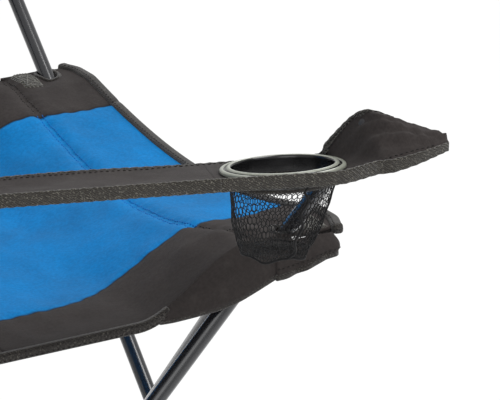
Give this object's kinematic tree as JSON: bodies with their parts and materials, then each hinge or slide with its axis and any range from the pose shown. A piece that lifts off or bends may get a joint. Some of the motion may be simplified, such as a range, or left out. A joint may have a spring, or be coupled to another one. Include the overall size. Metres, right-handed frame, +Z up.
{
  "type": "folding camp chair",
  "caption": "Folding quad camp chair: crossed steel tubes with sliding rear brackets, slung fabric seat, back and arms, and a ring-and-mesh cup holder.",
  "frame": {"origin": "on the floor under the middle of the open chair's overall box", "axes": "+Z up, -Y is the front that the sitter faces, -X is the sitter's right"},
  "size_m": [0.8385, 0.5841, 0.8737],
  "materials": {
    "painted_steel": "gloss black powder coat",
    "fitting_plastic": "satin black moulded plastic",
    "plug_plastic": "satin black",
    "washer_plastic": "satin black",
    "rivet_steel": "zinc plated",
    "seat_fabric": "plain weave",
    "dark_fabric": "plain weave",
    "mesh_fabric": "hexagonal knit mesh",
    "ring_plastic": "gloss black"
  },
  "bodies": {
    "rear_right_upright": {"upright_right": "painted_steel", "upright_plug_right": "plug_plastic", "foot_rear_right": "fitting_plastic", "foot_rivets_rear_right": "rivet_steel", "backrest": "dark_fabric"},
    "rear_tube_inner": {"rear_tube_inner": "painted_steel", "rear_cross_rivet": "rivet_steel", "rear_washer": "washer_plastic"},
    "rear_tube_outer": {"rear_tube_outer": "painted_steel"},
    "bracket_right": {"bracket_right": "fitting_plastic", "bracket_rivets_right": "rivet_steel"},
    "bracket_left": {"bracket_left": "fitting_plastic", "bracket_rivets_left": "rivet_steel"},
    "rear_left_upright": {"upright_left": "painted_steel", "upright_plug_left": "plug_plastic", "foot_rear_left": "fitting_plastic", "foot_rivets_rear_left": "rivet_steel"},
    "right_tube_outer": {"right_tube_outer": "painted_steel", "right_cross_rivet": "rivet_steel", "right_washer": "washer_plastic"},
    "right_tube_inner": {"right_tube_inner": "painted_steel"},
    "left_tube_inner": {"left_tube_inner": "painted_steel", "left_cross_rivet": "rivet_steel", "left_washer": "washer_plastic"},
    "left_tube_outer": {"left_tube_outer": "painted_steel"},
    "foot_front_right": {"foot_front_right": "fitting_plastic", "foot_rivets_front_right": "rivet_steel"},
    "foot_front_left": {"foot_front_left": "fitting_plastic", "foot_rivets_front_left": "rivet_steel"},
    "corner_joint_right": {"corner_joint_right": "fitting_plastic", "joint_rivets_right": "rivet_steel", "corner_flap_right": "dark_fabric"},
    "corner_joint_left": {"corner_joint_left": "fitting_plastic", "joint_rivets_left": "rivet_steel", "corner_flap_left": "dark_fabric"},
    "front_tube_outer": {"front_tube_outer": "painted_steel", "front_cross_rivet": "rivet_steel", "front_washer": "washer_plastic", "arm_post_left": "painted_steel", "post_rivets_left": "rivet_steel", "post_cap_left": "plug_plastic", "arm_left_front": "dark_fabric"},
    "front_tube_inner": {"front_tube_inner": "painted_steel", "arm_post_right": "painted_steel", "post_rivets_right": "rivet_steel", "post_cap_right": "plug_plastic", "arm_right_front": "dark_fabric", "cup_ring": "ring_plastic", "cup_pocket": "mesh_fabric"},
    "seat_rear": {"seat_rear": "seat_fabric"},
    "seat_front": {"seat_front": "seat_fabric"},
    "arm_right_rear": {"arm_right_rear": "dark_fabric"},
    "arm_left_rear": {"arm_left_rear": "dark_fabric"}
  },
  "joints": [
    {"name": "fold", "type": "hinge", "parent": "rear_right_upright", "child": "rear_tube_inner", "pos_m": [-0.213, 0.2493, 0.036], "axis": [0, -1, 0], "range_deg": [0, 36], "deforming": ["seat_front", "seat_rear", "backrest", "arm_right_rear", "arm_right_front", "arm_left_rear", "arm_left_front", "cup_pocket"]},
    {"name": "rear_crossing", "type": "hinge", "parent": "rear_tube_inner", "child": "rear_tube_outer", "pos_m": [0, 0.2639, 0.253], "axis": [0, -1, 0], "range_deg": [-72.5, 0]},
    {"name": "bracket_right_pivot", "type": "hinge", "parent": "rear_tube_outer", "child": "bracket_right", "pos_m": [-0.213, 0.2639, 0.47], "axis": [0, -1, 0], "range_deg": [0, 36.5]},
    {"name": "bracket_left_pivot", "type": "hinge", "parent": "rear_tube_inner", "child": "bracket_left", "pos_m": [0.213, 0.2493, 0.47], "axis": [0, -1, 0], "range_deg": [-36.5, 0]},
    {"name": "rear_left_foot_pivot", "type": "hinge", "parent": "rear_tube_outer", "child": "rear_left_upright", "pos_m": [0.213, 0.2639, 0.036], "axis": [0, -1, 0], "range_deg": [0, 36.5]},
    {"name": "right_rear_foot_pivot", "type": "hinge", "parent": "rear_right_upright", "child": "right_tube_outer", "pos_m": [-0.24035, 0.23655, 0.036], "axis": [-1, 0, 0], "range_deg": [0, 36.5]},
    {"name": "right_crossing", "type": "hinge", "parent": "right_tube_outer", "child": "right_tube_inner", "pos_m": [-0.22575, 0.02355, 0.253], "axis": [-1, 0, 0], "range_deg": [-72.5, 0]},
    {"name": "front_right_foot_pivot", "type": "hinge", "parent": "right_tube_inner", "child": "foot_front_right", "pos_m": [-0.22575, -0.18945, 0.036], "axis": [-1, 0, 0], "range_deg": [0, 36.5]},
    {"name": "corner_joint_right_pivot", "type": "hinge", "parent": "right_tube_outer", "child": "corner_joint_right", "pos_m": [-0.24035, -0.18945, 0.47], "axis": [-1, 0, 0], "range_deg": [-36.5, 0]},
    {"name": "left_rear_foot_pivot", "type": "hinge", "parent": "rear_left_upright", "child": "left_tube_inner", "pos_m": [0.22575, 0.23655, 0.036], "axis": [-1, 0, 0], "range_deg": [0, 36.5]},
    {"name": "left_crossing", "type": "hinge", "parent": "left_tube_inner", "child": "left_tube_outer", "pos_m": [0.24035, 0.02355, 0.253], "axis": [-1, 0, 0], "range_deg": [-72.5, 0]},
    {"name": "corner_joint_left_pivot", "type": "hinge", "parent": "left_tube_inner", "child": "corner_joint_left", "pos_m": [0.22575, -0.18945, 0.47], "axis": [-1, 0, 0], "range_deg": [-36.5, 0]},
    {"name": "front_tube_pivot", "type": "hinge", "parent": "foot_front_right", "child": "front_tube_outer", "pos_m": [-0.213, -0.2168, 0.036], "axis": [0, -1, 0], "range_deg": [0, 36.5]},
    {"name": "front_crossing", "type": "hinge", "parent": "front_tube_outer", "child": "front_tube_inner", "pos_m": [0, -0.2022, 0.253], "axis": [0, -1, 0], "range_deg": [-72.5, 0]},
    {"name": "front_left_foot_pivot", "type": "hinge", "parent": "front_tube_inner", "child": "foot_front_left", "pos_m": [0.213, -0.2022, 0.036], "axis": [0, -1, 0], "range_deg": [0, 36.5]},
    {"name": "seat_rear_fold", "type": "hinge", "parent": "bracket_right", "child": "seat_rear", "pos_m": [0, 0.23655, 0.4858], "axis": [1, 0, 0], "range_deg": [0, 78.37]},
    {"name": "seat_mid_fold", "type": "hinge", "parent": "seat_rear", "child": "seat_front", "pos_m": [0, 0.02355, 0.4858], "axis": [1, 0, 0], "range_deg": [-156.23, 0]},
    {"name": "arm_right_rear_fold", "type": "hinge", "parent": "rear_right_upright", "child": "arm_right_rear", "pos_m": [-0.219, 0.21275, 0.5815], "axis": [-0.9454, 0.3259, 0], "range_deg": [0, 92.66]},
    {"name": "arm_left_rear_fold", "type": "hinge", "parent": "rear_left_upright", "child": "arm_left_rear", "pos_m": [0.219, 0.21275, 0.5815], "axis": [-0.9486, -0.3164, 0], "range_deg": [0, 89.06]}
  ],
  "couplings": [
    {"joint": "rear_crossing", "follows": "fold", "ratio": -2},
    {"joint": "bracket_right_pivot", "follows": "fold", "ratio": 1},
    {"joint": "bracket_left_pivot", "follows": "fold", "ratio": -1},
    {"joint": "rear_left_foot_pivot", "follows": "fold", "ratio": 1},
    {"joint": "right_rear_foot_pivot", "follows": "fold", "ratio": 1},
    {"joint": "right_crossing", "follows": "fold", "ratio": -2},
    {"joint": "front_right_foot_pivot", "follows": "fold", "ratio": 1},
    {"joint": "corner_joint_right_pivot", "follows": "fold", "ratio": -1},
    {"joint": "left_rear_foot_pivot", "follows": "fold", "ratio": 1},
    {"joint": "left_crossing", "follows": "fold", "ratio": -2},
    {"joint": "corner_joint_left_pivot", "follows": "fold", "ratio": -1},
    {"joint": "front_tube_pivot", "follows": "fold", "ratio": 1},
    {"joint": "front_crossing", "follows": "fold", "ratio": -2},
    {"joint": "front_left_foot_pivot", "follows": "fold", "ratio": 1},
    {"joint": "seat_rear_fold", "follows": "fold", "ratio": 2.1629},
    {"joint": "seat_mid_fold", "follows": "fold", "ratio": -4.3259},
    {"joint": "arm_right_rear_fold", "follows": "fold", "ratio": 2.56},
    {"joint": "arm_left_rear_fold", "follows": "fold", "ratio": 2.46}
  ]
}
